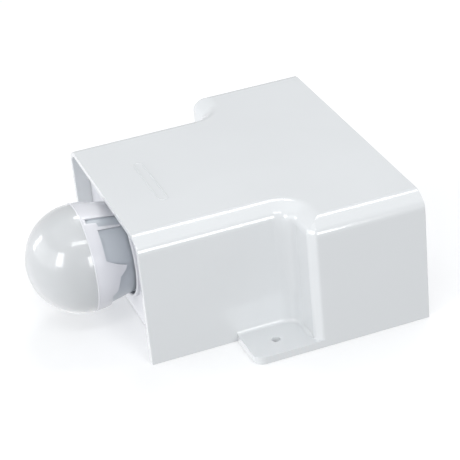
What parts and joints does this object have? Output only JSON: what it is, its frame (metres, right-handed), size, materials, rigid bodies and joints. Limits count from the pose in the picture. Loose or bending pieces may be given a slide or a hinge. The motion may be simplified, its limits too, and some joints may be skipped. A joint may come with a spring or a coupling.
{
  "type": "motion sensor",
  "caption": "T-shaped surface-mounted motion sensor with a turning domed lens head in its open end, two screw tabs, and rear set-up controls.",
  "frame": {"origin": "middle of the footprint on the mounting surface", "axes": "+Z away from the mounting surface, -Y the way the lens looks, X across the T"},
  "size_m": [0.1692, 0.183, 0.07],
  "materials": {
    "cover_white": "glossy moulded ABS, near white",
    "panel_white": "satin moulded ABS, cool white",
    "head_grey": "satin moulded ABS, pale blue grey",
    "lens_frost": "milky polyethylene, polished outside",
    "baffle_white": "moulded white nylon",
    "rubber_black": "moulded rubber",
    "steel_zinc": "bright zinc plate",
    "terminal_brass": "plain brass",
    "board_green": "solder mask on glass epoxy",
    "component_black": "moulded black plastic",
    "relay_blue": "moulded blue plastic",
    "winding_yellow": "yellow tape and film",
    "knob_grey": "moulded grey plastic",
    "button_orange": "moulded orange plastic",
    "lead_grey": "soft grey sheath",
    "lamp_clear": "clear epoxy and glass"
  },
  "bodies": {
    "housing": {"cover": "cover_white", "base_plate": "panel_white", "front_panel": "panel_white", "rear_panel": "panel_white", "bearing_ring": "panel_white", "lead_socket": "baffle_white", "terminal_block": "baffle_white", "cord_clamp": "baffle_white", "cable_grommet": "rubber_black", "clamp_screw_left": "steel_zinc", "clamp_screw_right": "steel_zinc", "base_screw_1": "steel_zinc", "base_screw_2": "steel_zinc", "base_screw_3": "steel_zinc", "base_screw_4": "steel_zinc", "bearing_screw_1": "steel_zinc", "bearing_screw_2": "steel_zinc", "bearing_screw_3": "steel_zinc", "board_screw_1": "steel_zinc", "board_screw_2": "steel_zinc", "board_screw_3": "steel_zinc", "board_screw_4": "steel_zinc", "terminal_screw_1": "terminal_brass", "terminal_screw_2": "terminal_brass", "terminal_screw_3": "terminal_brass", "terminal_screw_4": "terminal_brass", "main_board": "board_green", "control_board": "board_green", "supply_capacitor": "component_black", "controller_chip": "component_black", "time_pot": "component_black", "light_pot": "component_black", "range_pot": "component_black", "button_switch": "component_black", "mode_switch": "component_black", "relay": "relay_blue", "surge_absorber": "relay_blue", "transformer": "winding_yellow", "filter_capacitor": "winding_yellow", "head_lead": "lead_grey", "fuse": "lamp_clear"},
    "head": {"head_barrel": "head_grey", "lens_dome": "lens_frost", "lens_collar": "panel_white", "retaining_clip": "steel_zinc", "friction_seal": "rubber_black", "head_cap": "head_grey", "sensor_board": "board_green", "lens_baffle": "baffle_white", "heat_sensor": "steel_zinc", "status_lamp": "lamp_clear", "light_cell": "lamp_clear", "sensor_screw_left": "steel_zinc", "sensor_screw_right": "steel_zinc", "head_plug": "baffle_white"},
    "time_dial": {"time_dial": "knob_grey"},
    "light_dial": {"light_dial": "knob_grey"},
    "range_dial": {"range_dial": "knob_grey"},
    "test_button": {"test_button": "button_orange"},
    "mode_slider": {"mode_slider": "knob_grey"}
  },
  "joints": [
    {"name": "head_turn", "type": "hinge", "parent": "housing", "child": "head", "pos_m": [0, -0.0632, 0.0358], "axis": [0, -1, 0], "range_deg": [-165, 165]},
    {"name": "time_turn", "type": "hinge", "parent": "housing", "child": "time_dial", "pos_m": [-0.056, 0.0855, 0.036], "axis": [0, 1, 0], "range_deg": [-135, 135]},
    {"name": "light_turn", "type": "hinge", "parent": "housing", "child": "light_dial", "pos_m": [-0.038, 0.0855, 0.036], "axis": [0, 1, 0], "range_deg": [-135, 135]},
    {"name": "range_turn", "type": "hinge", "parent": "housing", "child": "range_dial", "pos_m": [-0.02, 0.0855, 0.036], "axis": [0, 1, 0], "range_deg": [-135, 135]},
    {"name": "button_press", "type": "slide", "parent": "housing", "child": "test_button", "axis": [0, -1, 0], "range_m": [0, 0.0012], "stiffness_N_per_m": 500, "springref_m": -0.0005},
    {"name": "mode_slide", "type": "slide", "parent": "housing", "child": "mode_slider", "axis": [1, 0, 0], "range_m": [-0.003, 0.003]}
  ]
}
